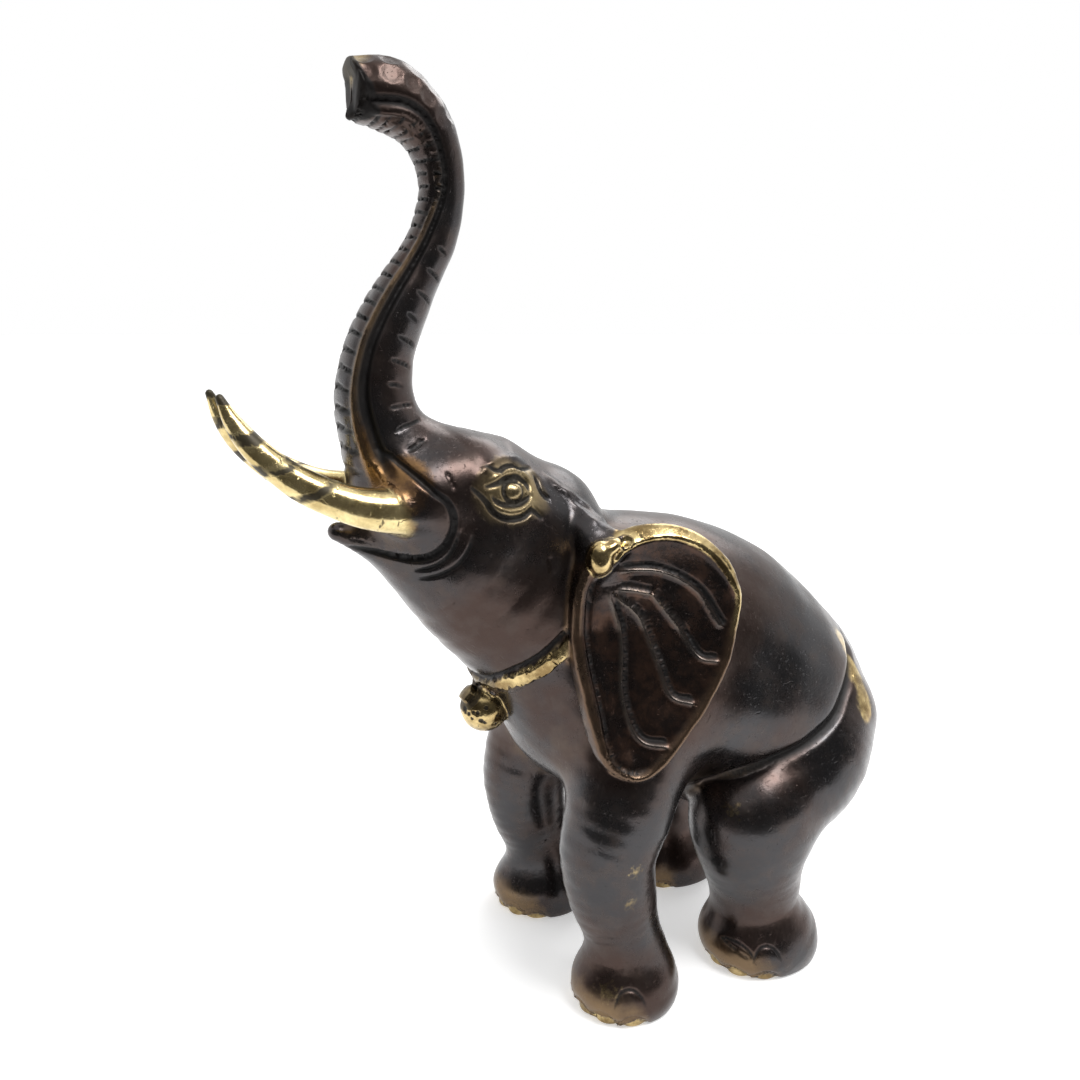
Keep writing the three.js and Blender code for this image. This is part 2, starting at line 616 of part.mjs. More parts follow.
const bronze = new THREE.MeshStandardMaterial({ color: 0x3a2a24, roughness: 0.35, metalness: 0.9 });
const elephant = new THREE.Mesh(casting, bronze);
elephant.name = "elephant";
elephant.position.y = MIDDLE;

const sculpture = new THREE.Group();
sculpture.add(elephant);
export default sculpture;
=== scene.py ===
"""A cast bronze elephant figurine, half seated, its trunk raised over two tusks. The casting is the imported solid, copied,
remeshed and sculpted: its skin is drawn onto the same swellings, limbs and plates that the solid was built from, and the
fine carving is cut into them. Lengths inside the sculpting functions are millimetres; the scene is in metres."""

import math

import bmesh
import bpy
import numpy as np
from mathutils import Matrix, Vector


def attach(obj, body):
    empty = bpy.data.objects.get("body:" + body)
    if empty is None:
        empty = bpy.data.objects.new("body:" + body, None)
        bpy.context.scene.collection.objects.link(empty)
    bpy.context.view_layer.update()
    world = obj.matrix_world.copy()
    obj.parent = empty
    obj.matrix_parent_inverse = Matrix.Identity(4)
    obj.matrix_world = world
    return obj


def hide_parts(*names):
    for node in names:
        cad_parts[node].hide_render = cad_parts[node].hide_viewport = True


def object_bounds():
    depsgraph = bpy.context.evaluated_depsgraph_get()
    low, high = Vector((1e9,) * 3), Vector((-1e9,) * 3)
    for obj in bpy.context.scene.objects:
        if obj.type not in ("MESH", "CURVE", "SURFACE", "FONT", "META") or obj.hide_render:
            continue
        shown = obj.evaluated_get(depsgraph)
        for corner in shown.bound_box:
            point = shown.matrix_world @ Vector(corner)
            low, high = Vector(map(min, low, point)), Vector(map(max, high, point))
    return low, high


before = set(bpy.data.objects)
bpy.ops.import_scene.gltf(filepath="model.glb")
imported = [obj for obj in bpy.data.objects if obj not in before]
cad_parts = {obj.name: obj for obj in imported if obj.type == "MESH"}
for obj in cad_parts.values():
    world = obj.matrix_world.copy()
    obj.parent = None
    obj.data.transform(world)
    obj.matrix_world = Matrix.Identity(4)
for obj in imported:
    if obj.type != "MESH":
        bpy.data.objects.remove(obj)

cad_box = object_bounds()

MM = 0.001
MIDDLE = 16.3  # the sculptor's y = 0 lies this far behind the row's, in mm
SKIN = 0.34  # voxel of the sculpted skin, in mm
FINEST = 196000  # triangles of the finished skin


# ---------------------------------------------------------------- joining and shaping distances
def blend(a, b, k):
    """Joins two bodies with a fillet about k wide."""
    h = np.maximum(k - np.abs(a - b), 0) / k
    return np.minimum(a, b) - h * h * k / 4


def trim(a, b, k):
    """Cuts b's outside away from a, with a rounded edge about k wide."""
    return -blend(-a, -b, k)


def smooth(start, end, v):
    t = np.clip((v - start) / (end - start), 0, 1)
    return t * t * (3 - 2 * t)


def bump(v, width):
    return np.exp(-((v / width) ** 2))


def length(v):
    return np.sqrt((v * v).sum(axis=-1))


# ---------------------------------------------------------------- bodies
def ellipsoid(at, radii, turn=0):
    """Turned about X: a positive turn lowers its -Y end."""
    c, s = math.cos(math.radians(turn)), math.sin(math.radians(turn))
    r = np.array(radii, float)

    def field(p):
        x, y, z = (p - at).T
        e = np.stack([x, y * c + z * s, z * c - y * s], axis=-1)
        near, far = length(e / r), length(e / (r * r))
        return np.where(far < 1e-9, -r.min(), near * (near - 1) / np.maximum(far, 1e-9))

    return field


def spline(points, steps, closed=False):
    """Centripetal Catmull-Rom through the points, at even steps of its parameter."""
    p = np.array(points, float)
    n = len(p)
    if closed:
        ring = lambda i: p[i % n]
    else:
        ends = {-1: 2 * p[0] - p[1], n: 2 * p[-1] - p[-2]}
        ring = lambda i: ends[i] if i in ends else p[i]
    made = []
    for step in range(steps + 1):
        t = step / steps * (n if closed else n - 1)
        i = int(t) if closed else min(int(t), n - 2)
        w = t - i
        p0, p1, p2, p3 = ring(i - 1), ring(i), ring(i + 1), ring(i + 2)
        d0, d1, d2 = (max(length(b - a) ** 0.5, 1e-4) for a, b in ((p0, p1), (p1, p2), (p2, p3)))
        t1 = ((p1 - p0) / d0 - (p2 - p0) / (d0 + d1) + (p2 - p1) / d1) * d1
        t2 = ((p2 - p1) / d1 - (p3 - p1) / (d1 + d2) + (p3 - p2) / d2) * d1
        made.append(p1 + t1 * w + (3 * (p2 - p1) - 2 * t1 - t2) * w * w + (2 * (p1 - p2) + t1 + t2) * w**3)
    return np.array(made)


class Path:
    """A curve through points [x, y, z, size] that finds its nearest place to each of many points."""

    def __init__(self, points, steps):
        given = np.array(points, float)
        self.at = spline(given[:, :3], steps)
        sizes = np.column_stack([np.arange(len(given)), given[:, 3], np.zeros(len(given))])
        self.size = spline(sizes, steps)[:, 1]
        self.run = np.concatenate([[0], np.cumsum(length(np.diff(self.at, axis=0)))])
        low, high = self.at.min(axis=0), self.at.max(axis=0)
        self.centre = (low + high) / 2
        self.reach = length(high - low) / 2 + self.size.max()

    def away(self, p):
        return length(p - self.centre) - self.reach

    def nearest(self, p, tapered=False):
        """For each point: its distance from the line, or from the limb round it, the size there and the way along."""
        best = np.full(len(p), np.inf)
        size, along = np.zeros(len(p)), np.zeros(len(p))
        for i in range(len(self.at) - 1):
            a, b = self.at[i], self.at[i + 1]
            t = np.clip((p - a) @ (b - a) / ((b - a) @ (b - a)), 0, 1)
            here = self.size[i] + t * (self.size[i + 1] - self.size[i])
            d = length(p - a - t[:, None] * (b - a)) - (here if tapered else 0)
            closer = d < best
            best[closer], size[closer] = d[closer], here[closer]
            along[closer] = self.run[i] + t[closer] * (self.run[i + 1] - self.run[i])
        return best, size, along


def limb(points, steps=24, width=1):
    """A round limb whose size is its radius. A width other than 1 stretches it along X."""
    path = Path([(x / width, y, z, r) for x, y, z, r in points], steps)
    shrink = min(width, 1)

    def field(p):
        q = p / [width, 1, 1]
        d = path.away(q)
        near = d < 12
        d[near] = path.nearest(q[near], tapered=True)[0]
        return d * shrink

    return field


def stroke(points, steps=24):
    """The distance from a line on the surface, and the size there."""
    path = Path(points, steps)

    def field(p):
        d, size = np.full(len(p), 99.0), np.zeros(len(p))
        near = path.away(p) < 6
        if near.any():
            d[near], size[near], _ = path.nearest(p[near])
        return d, size

    return field


def groove(points, width, steps=24):
    """A cut along a line whose size is its depth."""
    near = stroke(points, steps)

    def field(p):
        d, depth = near(p)
        return depth * bump(d, width)

    return field


# ---------------------------------------------------------------- the animal's measures
FX, HX = 21, 20  # how far the feet stand from the middle plane
FRONT_FEET, HIND_FEET = -18.9, 18.5
FRONT_FOOT, HIND_FOOT = 10.8, 12.3

barrel = ellipsoid([0, 11.5, 65.8], [26.5, 43, 29.6], -38)
flank = ellipsoid([13.5, 5, 61], [14.6, 27, 11], -16)
rump = ellipsoid([0, 27.5, 51.2], [26, 31.5, 24], -30)
chest = ellipsoid([0, -14, 68], [23.5, 25, 27], -20)
neck = limb([(0, -4, 72, 24), (0, -18, 79, 23), (0, -30, 86.8, 22), (0, -42, 97.4, 20.3),
             (0, -50, 105, 16.4), (0, -56, 110, 13.2)], 16, 0.86)
crown = ellipsoid([0, -34, 103], [14, 15, 10.6], 27)
jaw = limb([(0, -48, 97, 10), (0, -58, 99.5, 6.6), (0, -66, 102, 3.6), (0, -73.6, 104.6, 1.8)], 16, 1.35)

front_leg = limb([(13.5, -12, 74, 12), (17.6, -16, 58, 12), (FX - 0.5, -21.3, 46.5, 11.3), (FX, -24.4, 36, 10.3),
                  (FX, -23.5, 26, 9.4), (FX, -21, 17, 8.3), (FX, -19.5, 9, 9.4), (FX, FRONT_FEET, 4, FRONT_FOOT)], 28)
thigh = limb([(15, 37, 53, 12), (17, 28, 45, 15.3), (20, 16, 38.5, 13.6), (21.5, 10, 36.8, 10.6)], 18)
shank = limb([(21.5, 10, 36, 10.6), (21, 12, 29, 11.8), (20.3, 14.3, 21, 10.8), (HX, 14.8, 14, 9.9),
              (HX, 16.5, 7.5, 11.2), (HX, HIND_FEET, 3.5, HIND_FOOT)], 20)
front_toes = ellipsoid([FX + 0.6, FRONT_FEET - 2.6, 4.5], [10.6, 10.3, 6.8])
hind_toes = ellipsoid([HX + 0.6, HIND_FEET - 4.4, 4.8], [12, 11.6, 7.6])


def nails(cx, cy, radius, bearings, width):
    """Toenails round the front of a foot: a positive bearing turns away from the other foot."""
    turns = np.radians(bearings)
    return [ellipsoid([cx + radius * math.sin(a), cy - radius * math.cos(a), 1.2], [width, width, 6]) for a in turns]


toenails = (nails(FX + 0.4, FRONT_FEET - 1.8, 7.1, (74, 38, 4, -29, -62), 3.3)
            + nails(HX + 0.4, HIND_FEET - 3.2, 8.2, (67, 33, 1, -31, -62), 3.3))

trunk_path = Path([(0, -48, 107, 16), (0, -56, 112, 13), (0, -61.5, 117.5, 10.5), (0, -64.8, 124, 8.7),
                   (0, -65.8, 131, 7.7), (0, -64.8, 137.2, 7.1), (0, -62.7, 142.6, 6.6), (0, -59.8, 148.1, 6.1),
                   (0, -56.5, 153.7, 5.3), (0, -53.5, 159, 4.8), (0, -51.6, 164.5, 4.5), (0, -51, 169, 4.4),
                   (0, -51.7, 174.2, 4.8), (0, -54.6, 179.8, 5.7), (0, -60.5, 183.6, 6.6), (0, -68.7, 184.4, 5.6)], 90)
TRUNK_LENGTH = trunk_path.run[-1]
RIBS = 2.85  # from one rib of the trunk's underside to the next

tusk = limb([(11, -58, 109, 4.2), (12.2, -65.4, 109.8, 4.1), (11.5, -73.9, 111.9, 3.6), (10.3, -82.4, 116.1, 3),
             (8.8, -88.8, 121.5, 2.4), (6.9, -93, 127.5, 1.6), (6.2, -94.6, 131.3, 0.8)], 36)
sheath = limb([(6.5, -50, 113, 9.2), (8.6, -57.5, 112, 7.6), (10.2, -63.2, 110.4, 5.2)], 10)


def arc(centre, radii, start, end):
    """Part of an ellipse in the view from the side: 0 degrees faces forward and 90 up."""
    turns = np.radians(np.linspace(start, end, 7))
    return [(centre[0] - radii[0] * math.cos(a), centre[1] + radii[1] * math.sin(a)) for a in turns]


EAR = (arc((-16, 90), (15.5, 15.5), 60, 180) + [(-4, 77.5), (-10.5, 67)] + arc((-24, 63.5), (7, 8), 225, 350)
       + [(-32.5, 72), (-33.5, 84), (-32, 96), (-27.5, 100)])
EAR_THICK = 3
VEIN_ROOT = (-26.5, 92.5)  # where the veins meet, at the ear's front
VEINS = [
    [VEIN_ROOT, (-23.5, 84), (-24.5, 71), (-22, 63), (-18, 62)],
    [VEIN_ROOT, (-20, 87), (-17, 78), (-15, 71), (-12, 70)],
    [(-17, 91), (-12, 84), (-9, 78.5), (-6.5, 78)],
    [(-24, 96.5), (-16, 96), (-9, 92), (-5, 85)],
    [VEIN_ROOT, (-22, 92.5), (-18, 91.5)],
]


def beside(line, gap):
    """The line moved sideways by the gap, towards the ear's back edge and top."""
    p = np.array(line, float)
    along = np.gradient(p, axis=0)
    across = np.stack([-along[:, 1], along[:, 0]], axis=-1) / length(along)[:, None]
    across *= np.where(across @ [1, 0.4] < 0, -1, 1)[:, None]
    return p + across * gap


def on_ear(line):
    """A stroke that runs straight through the ear's plate."""
    near = stroke([(0, y, z, 1) for y, z in line], 40)
    return lambda p: near(p * [0, 1, 1])[0]


ear_edge = spline([(0, y, z) for y, z in EAR], 72, closed=True)[:, 1:]
vein_crests = [on_ear(line) for line in VEINS]
vein_cuts = [on_ear(beside(line, 1.05)) for line in VEINS]
knob = ellipsoid([22.6, -28.3, 99.4], [2.7, 2.5, 3.5])
knob_lobe = ellipsoid([22.6, -26.2, 101.4], [2, 2.6, 1.5], 25)
ear_root = limb([(11, -28, 105, 4), (17, -26, 100, 4.6), (17.5, -26, 92, 4)], 10)
EAR_HOLE = np.array([23.6, -23, 102.4])

bell = ellipsoid([0, -43.4, 63.6], [5.3, 5.3, 5.3])
bell_loop = ellipsoid([4, -43, 68.2], [1, 1, 1])
chance = np.random.default_rng(7)
bell_pits = [(np.array([0, -43.4, 63.6]) + 5.2 * way / length(way), chance.uniform(0.25, 0.6))
             for way in chance.normal(size=(34, 3)) * [1, 1, 1] + [0.7, -0.6, 0]]
EYE = np.array([15.5, -43.2, 112.7])
eyeball = ellipsoid([14.4, -42.8, 112.3], [1.75, 1.75, 1.75])
tail = limb([(0, 46, 72.4, 2.4), (0, 52.6, 65.5, 2.8), (0, 57.2, 57, 3.2), (0, 59.6, 48, 2.8), (0, 58.3, 40, 2)], 16)
tail_root = limb([(0, 40, 69, 6), (0, 48, 62, 6.5), (0, 52, 54, 6), (0, 52.5, 45, 5.5), (0, 49, 36, 5)], 16)


# ---------------------------------------------------------------- torso, trunk and ears
def torso(p):
    d = blend(barrel(p), chest(p), 14)
    d = blend(d, rump(p), 12)
    d = blend(d, flank(p), 7)
    d = blend(d, neck(p), 8)
    return blend(d, crown(p), 5)


def along_trunk(p):
    """The trunk's own measures: the way along it, its radius there, and how far behind its middle each point is."""
    flat = p * [0, 1, 1]
    d, r, s = trunk_path.nearest(flat)
    i = np.clip(np.searchsorted(trunk_path.run, s) - 1, 0, len(trunk_path.at) - 2)
    a, b = trunk_path.at[i], trunk_path.at[i + 1]
    step = (b - a) / length(b - a)[:, None]
    side = np.where((flat - a)[:, 1] * step[:, 2] - (flat - a)[:, 2] * step[:, 1] > 0, 1, -1)
    past = np.maximum(((flat - trunk_path.at[-1]) * (trunk_path.at[-1] - trunk_path.at[-2])).sum(axis=1), 0)
    past = np.where(s >= TRUNK_LENGTH - 1e-6, past / length(trunk_path.at[-1] - trunk_path.at[-2]), 0)
    return s + past, r, side * np.sqrt(np.maximum(d * d - past * past, 0))


def round_trunk(x, s, v):
    """Angles round the trunk from its ribbed face: of each point, of the ridge there, and of the groove behind it."""
    ridge = 0.87 + 0.08 * smooth(40, 60, s) + 0.25 * smooth(62, 75, s) - 0.3 * smooth(85, 97, s)
    return np.arctan2(np.abs(x), -v), ridge, ridge + 0.21 + 0.1 * smooth(34, 24, s) + 0.1 * smooth(75, 95, s)


def on_trunk(way, angle):
    """A point on the trunk's left side, this way along it and at this angle from its ribbed face."""
    i = min(np.searchsorted(trunk_path.run, way), len(trunk_path.at) - 1)
    step = trunk_path.at[i] - trunk_path.at[i - 1]
    step = step / np.linalg.norm(step)
    radius = trunk_path.size[i]
    behind = np.array([0, step[2], -step[1]])
    middle = trunk_path.at[i - 1] + step * (way - trunk_path.run[i - 1])
    return middle + radius * (np.array([math.sin(angle), 0, 0]) - math.cos(angle) * behind)


def trunk(p):
    d = trunk_path.away(p)
    near = d < 14
    x = p[near][:, 0]
    s, r, v = along_trunk(p[near])
    around, ridge, channel = round_trunk(x, s, v)
    freed = smooth(14, 24, s)
    t = trim(np.hypot(x, v) - r, -v - 0.9 * r, 0.3 * r)
    t = t - freed * 0.65 * bump(around - ridge, 0.12)
    t = t + freed * 1.15 * bump(around - channel, 0.115)
    rib = np.abs(((s + 0.15 * np.abs(x)) / RIBS) % 1 - 0.5) * RIBS
    t = t + smooth(18, 24, s) * (0.75 * bump(rib, 0.3) - 0.12) * smooth(ridge - 0.12, ridge - 0.32, around)
    level = np.clip(0.42 - 0.5 * v / r, 0.05, 0.85) * np.abs(x)
    middle = np.hypot(x, v + 0.2)
    dish = 1.1 * (1 - smooth(1.2, 4.4, middle)) + 1.2 * bump(np.hypot(np.abs(x) - 1.9, v - 0.6), 1)
    d[near] = trim(t, s - TRUNK_LENGTH + level + dish, 0.7)
    return d


def ear_outline(p):
    """Distance to the ear's outline in the YZ plane, negative inside."""
    y, z = p[:, 1], p[:, 2]
    nearest, side = np.full(len(p), np.inf), np.ones(len(p))
    for a, b in zip(ear_edge[:-1], ear_edge[1:]):
        e = b - a
        t = np.clip(((y - a[0]) * e[0] + (z - a[1]) * e[1]) / (e @ e), 0, 1)
        nearest = np.minimum(nearest, np.hypot(y - a[0] - t * e[0], z - a[1] - t * e[1]))
        rises = (a[1] > z) != (b[1] > z)
        slope = e[0] / e[1] if e[1] else 0
        side = np.where(rises & (y < slope * (z - a[1]) + a[0]), -side, side)
    return side * nearest


def ear_face(p):
    x, y, z = p.T
    plane = 21.5 + 0.33 * (y + 31) + 0.25 * np.maximum(84 - z, 0) - 0.1 * np.maximum(z - 92, 0)
    return (x - plane) * 0.93


def ear_top(p):
    """1 along the ear's top and back edge, where its rim is a broad sloping band, and 0 elsewhere."""
    return smooth(-28, -25, p[:, 1]) * smooth(80, 92, p[:, 2] + 0.3 * p[:, 1])


def border(edge, p):
    """1 in the groove that sets off the ear's front border, and how far each point is outside that groove."""
    outside = edge + 1.8 + 1.4 * smooth(57, 70, p[:, 2])
    return bump(outside, 0.45) * smooth(-20, -25, p[:, 1]), outside


def ear(p):
    """The ear's plate, and the room in front of it where the shoulder is cut back."""
    away = length(p - [26, -16, 80]) - 34
    plate, room = away.copy(), away.copy()
    near = away < 8
    q = p[near]
    edge, face = ear_outline(q), ear_face(q)
    top = ear_top(q)
    lip = 1.0 + 1.3 * top * smooth(88, 98, q[:, 2])
    hollow = 1.5 * smooth(-1.5, -8, edge) + 0.35 * smooth(-6, -14, edge)
    inside = 0.85 * bump(edge + lip, 0.75)
    outside = 0.85 - (0.25 + 0.65 * top) * (edge + lip)
    rim = np.where(edge < -lip, inside, outside)
    groove, outside = border(edge, q)
    rim = rim - 0.7 * groove + 0.35 * bump(outside - 1.1, 0.6) * smooth(-20, -25, q[:, 1])
    vein = np.zeros(len(q))
    cut = np.zeros(len(q))
    for crest, beside_it in zip(vein_crests, vein_cuts):
        vein = np.maximum(vein, 0.55 * bump(crest(q), 0.6))
        cut = np.maximum(cut, 0.7 * bump(beside_it(q), 0.5))
    front = face + hollow - rim - vein + cut
    plate[near] = trim(trim(front, -face - hollow - EAR_THICK, 0.8), edge, 0.8)
    room[near] = trim(edge, -face - hollow - 1.5, 1)
    return plate, room


def body(p):
    """The whole form without its carved lines."""
    y, z = p[:, 1], p[:, 2]
    d = torso(p)
    d = blend(d, front_leg(p), 8)
    d = blend(d, blend(thigh(p), shank(p), 7), 3)
    d = blend(d, front_toes(p), 4)
    d = blend(d, hind_toes(p), 4)
    feet = z < 10
    low = p[feet]
    for nail in toenails:
        n = nail(low)
        d[feet] = blend(d[feet] + 0.75 * bump(n - 0.4, 0.5), n, 0.25)
    d = blend(d, jaw(p), 5)
    d = blend(d, trunk(p), 6)
    d = blend(d, sheath(p), 4)
    d = blend(d, tusk(p), 1)
    plate, room = ear(p)
    d = trim(d, -room, 1)
    d = blend(d, blend(plate, ear_root(p), 3), 1.2)
    d = blend(d, blend(knob(p), knob_lobe(p), 0.8), 0.8)
    d = blend(d, blend(bell(p), bell_loop(p), 0.4), 0.6)
    return blend(blend(d, tail_root(p), 7), tail(p), 0.8)


# ---------------------------------------------------------------- carving
def carved(points, depth, width, steps=24):
    """A line cut into the surface, or raised on it if the depth is negative. It is faint at both ends."""
    line = draw_onto(body, spline(points, steps), 4, 1)
    out = slope(body, line, body(line))
    out /= length(out)[:, None]
    ends = np.minimum(1, 4 * np.minimum(np.linspace(0, 1, len(line)), np.linspace(1, 0, len(line))) + 0.35)
    low, high = line.min(axis=0) - 3, line.max(axis=0) + 3

    def field(p):
        deep = np.zeros(len(p))
        near = np.all((p > low) & (p < high), axis=1)
        q = p[near]
        nearest, amount = np.full(len(q), np.inf), np.zeros(len(q))
        for i in range(len(line) - 1):
            away = q - line[i]
            over = away @ out[i]
            away = away - np.outer(over, out[i])
            along = line[i + 1] - line[i]
            along = along - along @ out[i] * out[i]
            t = np.clip(away @ along / max(along @ along, 1e-9), 0, 1)
            d = length(away - np.outer(t, along)) + np.maximum(np.abs(over) - 2, 0)
            amount = np.where(d < nearest, depth * (ends[i] + (ends[i + 1] - ends[i]) * t), amount)
            nearest = np.minimum(nearest, d)
        deep[near] = amount * bump(nearest, width)
        return deep

    return field


def slope(field, p, here):
    e = 0.03
    return np.stack([(field(p + np.eye(3)[axis] * e) - here) / e for axis in range(3)], axis=-1)


def draw_onto(field, p, passes, most):
    """Moves points onto the field's surface along its slope, at most so far in each pass."""
    for _ in range(passes):
        here = field(p)
        g = slope(field, p, here)
        move = np.clip(here / np.maximum((g * g).sum(axis=1), 0.2), -most, most)
        p = p - g * move[:, None]
    return p


def on_side(line):
    """A line drawn in the view from the side, laid on the animal's left side."""
    depths = np.arange(34, 0, -0.5)
    laid = []
    for y, z in line:
        inside = body(np.column_stack([depths, np.full(len(depths), y), np.full(len(depths), z)])) < 0
        laid.append((depths[np.argmax(inside)], y, z))
    return laid


EYE_AT = (-43.5, 112.5)  # along and up, in the view from the side
CHEEK = (-62, 107.3)  # the middle of the mouth's round corner
brow = [(-48.5, 117.5)] + arc(EYE_AT, (4.5, 4.7), 60, 130) + [(-38, 116)]
behind_eye = [(-37, 114.5), (-36.5, 111.5), (-35, 110)]
under_eye = [(-52, 114)] + arc(EYE_AT, (6, 5), -15, -130) + [(-37.5, 107)]
upper_lid = [(-49, 114)] + arc(EYE_AT, (4, 2.7), 50, 180)
lower_lid = arc(EYE_AT, (4.5, 2.4), -10, -150)
mouth = [(-67, 121.5), (-63, 117.5)] + arc(CHEEK, (6.5, 7), 115, 270) + [(-66.5, 101), (-71.5, 102)]
folds = [arc(CHEEK, (7.7, 9.3), 190, 265), arc(CHEEK, (10.3, 11.1), 192, 262)]
CREASE = [(0, 46), (10, 50.5), (20, 54), (29, 58.5), (36, 64), (45, 71)]
toe_arcs = [arc((heel, 3), (3.2, 5.8), 20, 160) for heel in (5, 10.5, -24.5)]

cuts = [carved(on_side(brow), 0.75, 0.48), carved(on_side(behind_eye), 0.75, 0.48),
        carved(on_side(under_eye), 0.85, 0.52), carved(on_side(upper_lid), 0.8, 0.5),
        carved(on_side(lower_lid), 0.75, 0.48), carved(on_side(mouth), 0.95, 0.6, 48)]
cuts += [carved(on_side(fold), 0.5, 0.38) for fold in folds]
for number, way in enumerate(np.arange(20, 62, 4.6)):
    upper = 2.4 if number % 3 else 2.1
    cuts.append(carved([on_trunk(way, 1.7), on_trunk(way - 0.3, upper)], 0.55, 0.36, 8))
cuts += [carved(on_side(toe), 0.35, 0.38, 12) for toe in toe_arcs]
haunch = carved(on_side(CREASE), 1.3, 1.3, 40)
forms = [
    haunch,
    carved(on_side(arc(EYE_AT, (8, 6), 30, 120)), -0.5, 0.8),  # bone of the brow
    carved(on_side(arc(EYE_AT, (5.2, 3.8), 40, 150)), -0.45, 0.6),  # upper lid
    carved(on_side(arc(EYE_AT, (5.2, 3.8), -20, -140)), -0.45, 0.6),  # lower lid
    carved(on_side([(-69, 119.5), (-67, 116), (-65.5, 112)]), -0.5, 0.5),  # edge of the lip
    carved(on_side([(-36, 99.5), (-36, 96)]), 0.4, 0.8),
    carved(on_side([(-56.5, 117), (-55.5, 114)]), 0.3, 0.35),
    carved(on_side([(-56.5, 89.5), (-54.5, 92), (-53.5, 95.5)]), 0.15, 0.3),
]
bristles = [carved(on_side([(-33, 113), (-30, 110), (-27, 105.5)]), -0.6, 0.9),
            carved(on_side([(-33.5, 114), (-28, 109.5), (-23.5, 105)]), -0.6, 0.9)]
rubbed_haunch = stroke([(*at, 1) for at in [(16, 40, 72), (20, 40, 65), (26, 39.5, 57)]], 16)
dents = [(on_trunk(TRUNK_LENGTH - back, angle), 2.2) for angle in (2, 2.6) for back in (2.5, 6.5, 10, 13, 16.5)]


def collar_band(p):
    """How far the collar stands out, and 1 in the groove above it. Its edges are chipped."""
    x, y, z = p.T
    height = -0.763 * y + 0.646 * z - (79.7 - 1.7 * smooth(8, 20, x))
    half = 0.7 + 0.5 * smooth(5, 12, x)
    chips = 0.16 * np.sin(1.9 * x + 0.4) + 0.12 * np.sin(4.3 * x + 1)
    placed = (y < -28) * (z < 95) * smooth(20.3, 18.8, x)
    band = smooth(0.25, -0.15, np.abs(height) - half - chips * smooth(3, 8, x)) * placed
    return band, bump(height - half - 0.75, 0.5) * placed


def carve(p):
    """How deep the carving is at each point."""
    deep = np.zeros(len(p))
    for line in cuts + forms:
        deep += line(p)
    rough = 0.75 + 0.25 * np.sin(1.3 * p[:, 1] + 0.9 * p[:, 2]) * np.sin(1.6 * p[:, 0] - 0.7 * p[:, 2])
    for line in bristles:
        deep += line(p) * rough
    for at, width in dents:
        deep += 0.16 * width * (1 - smooth(0.45 * width, width, length(p - at)))
    for at, width in bell_pits:
        deep += 0.8 * width * (1 - smooth(0.4 * width, 1.1 * width, length(p - at)))
    from_eye = length(p - EYE)
    deep += 1.1 * bump(from_eye - 2.2, 0.5)
    from_hole = length(p - EAR_HOLE)
    deep += 1.3 * bump(from_hole, 0.6) - 0.5 * bump(from_hole - 1.5, 0.5)
    band, above = collar_band(p)
    return deep - 0.9 * band + 0.6 * above


def waves(p):
    """The slight unevenness of a surface that was smoothed by hand."""
    x, y, z = p.T
    return (0.1 * np.sin(x / 3.1 + 1) * np.sin(y / 3.7 + z / 9) + 0.09 * np.sin(y / 2.3 - 1.1) * np.sin(z / 2.9 + x / 5)
            + 0.05 * np.sin(z / 1.3 + y / 3) * np.sin(x / 1.5 + z / 4))


def form(p):
    """The casting's surface at zero, for points in mm in the sculptor's frame. Both sides are alike."""
    p = p * [1, 1, 1]
    p[:, 0] = np.abs(p[:, 0])
    d = body(p) + carve(p) + waves(p)
    d = blend(d, eyeball(p), 0.3)
    return trim(d, -p[:, 2], 0.8)


# ---------------------------------------------------------------- the skin
def merged_copy(node, name):
    """A new object with a CAD node's mesh, its doubles merged."""
    shell = bmesh.new()
    shell.from_mesh(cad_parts[node].data)
    bmesh.ops.remove_doubles(shell, verts=shell.verts, dist=1e-6)
    mesh = bpy.data.meshes.new(name)
    shell.to_mesh(mesh)
    shell.free()
    piece = bpy.data.objects.new(name, mesh)
    bpy.context.scene.collection.objects.link(piece)
    return piece


def apply_modifiers(piece):
    done = bpy.data.meshes.new_from_object(piece.evaluated_get(bpy.context.evaluated_depsgraph_get()))
    piece.modifiers.clear()
    piece.data = done


def per_vertex(mesh, what):
    flat = np.empty(len(mesh.vertices) * 3)
    mesh.vertices.foreach_get(what, flat)
    return flat.reshape(-1, 3)


def paint(mesh, name, values):
    mesh.attributes.new(name, "FLOAT", "POINT").data.foreach_set("value", values.astype(np.float32))


def sculpt(name):
    casting = merged_copy("elephant", name)
    remesh = casting.modifiers.new("skin", "REMESH")
    remesh.mode = "VOXEL"
    remesh.voxel_size = SKIN * MM
    apply_modifiers(casting)
    skin = per_vertex(casting.data, "co") / MM - [0, MIDDLE, 0]
    skin = draw_onto(form, skin, 2, 0.6)
    casting.data.vertices.foreach_set("co", ((skin + [0, MIDDLE, 0]) * MM).ravel())
    thinner = casting.modifiers.new("thinner", "DECIMATE")
    thinner.ratio = FINEST / sum(len(f.vertices) - 2 for f in casting.data.polygons)
    apply_modifiers(casting)
    mesh = casting.data
    low, high = (np.array(corner, float) for corner in cad_box)
    mesh.vertices.foreach_set("co", np.clip(per_vertex(mesh, "co"), low, high).ravel())
    mesh.polygons.foreach_set("use_smooth", np.ones(len(mesh.polygons), bool))
    mesh.update()
    return casting


# ---------------------------------------------------------------- where each finish lies
SCUFFS = [((28.5, 1.5, 42.5), 3.2), ((31, -24, 36), 3), ((31, -25, 29), 3), ((28, -28, 8), 4)]  # place, width
UPPER_LIP = (12.5, -65, 114.5)


